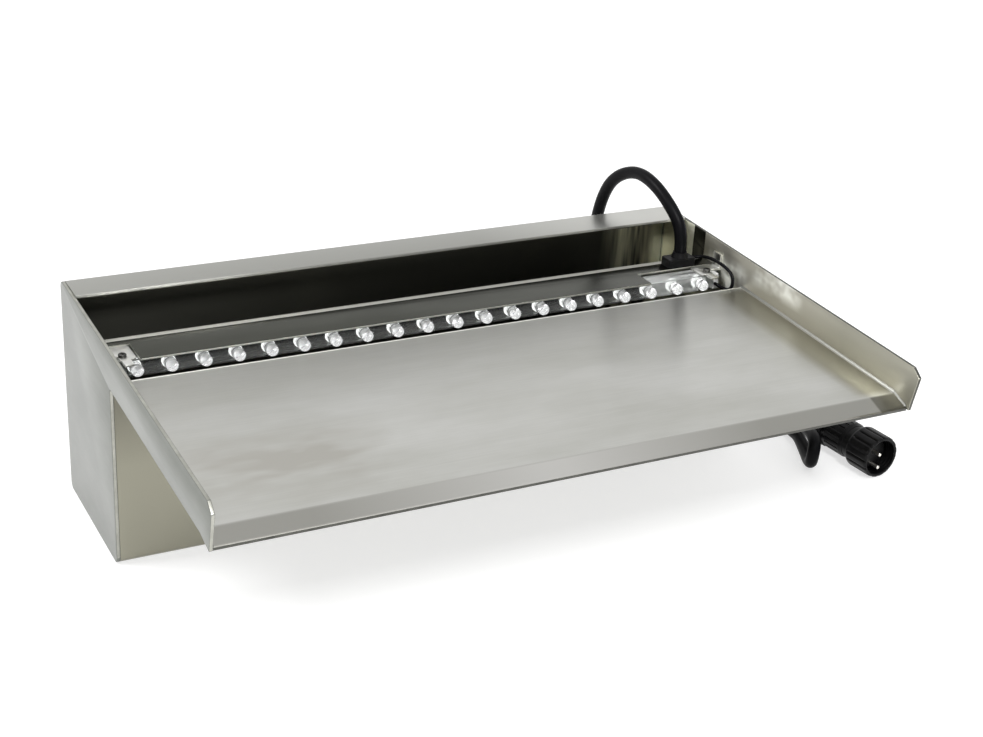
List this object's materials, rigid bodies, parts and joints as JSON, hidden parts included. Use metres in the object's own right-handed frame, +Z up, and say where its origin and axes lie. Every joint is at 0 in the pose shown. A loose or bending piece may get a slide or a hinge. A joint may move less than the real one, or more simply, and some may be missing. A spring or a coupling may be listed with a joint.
{
  "type": "waterfall spillway",
  "caption": "Folded stainless-steel waterfall spillway with a rear pipe inlet, sloping deck with a drip lip, a flow baffle, a lamp strip and a low-voltage cable with a screw-collar plug.",
  "frame": {"origin": "on the base plane, below the centre of the steel body's bounding box (cable and plug left out)", "axes": "+X along the lip, -Y the way the water leaves, +Z up"},
  "size_m": [0.3728, 0.225, 0.1224],
  "materials": {
    "sheet_steel": "satin brushed sheet",
    "deck_steel": "satin brushed sheet, grain along the lip",
    "pipe_steel": "turned stainless, satin",
    "baffle_steel": "satin brushed sheet",
    "clear_tube": "clear extruded plastic",
    "circuit_board": "black solder mask",
    "lamp_lens": "water-clear epoxy",
    "tinned_wire": "tinned",
    "resistor": "matt black",
    "clear_cap": "clear moulded plastic",
    "bracket_steel": "bright stainless",
    "screw_steel": "plain stainless",
    "black_moulding": "moulded black plastic",
    "lead_jacket": "black insulation",
    "cable_jacket": "black rubber, slight sheen",
    "plug_nut_plastic": "moulded black nylon",
    "plug_plastic": "moulded black nylon",
    "plug_collar_plastic": "moulded black nylon",
    "insert_plastic": "moulded black plastic",
    "seal_rubber": "matt rubber",
    "plated_pins": "nickel plated"
  },
  "bodies": {
    "spillway": {"tank_shell": "sheet_steel", "left_side_panel": "sheet_steel", "right_side_panel": "sheet_steel", "spillway_deck": "deck_steel", "inlet_stub": "pipe_steel", "flow_baffle": "baffle_steel", "strip_tube": "clear_tube", "strip_circuit_board": "circuit_board", "strip_lamps": "lamp_lens", "lamp_legs": "tinned_wire", "strip_resistors": "resistor", "left_end_cap": "clear_cap", "right_end_cap": "clear_cap", "left_strip_bracket": "bracket_steel", "right_strip_bracket": "bracket_steel", "bracket_screws": "screw_steel", "cable_gland": "black_moulding", "strip_lead": "lead_jacket", "supply_cable": "cable_jacket", "plug_rear_nut": "plug_nut_plastic", "plug_body": "plug_plastic", "plug_insert": "insert_plastic", "plug_seal_ring": "seal_rubber", "plug_pins": "plated_pins"},
    "plug_collar": {"plug_coupling_nut": "plug_collar_plastic"}
  },
  "joints": [
    {"name": "plug_collar_spin", "type": "hinge", "parent": "spillway", "child": "plug_collar", "pos_m": [0.1959, -0.03324, 0.0103], "axis": [0.0797, -0.9968, 0], "continuous": true}
  ]
}
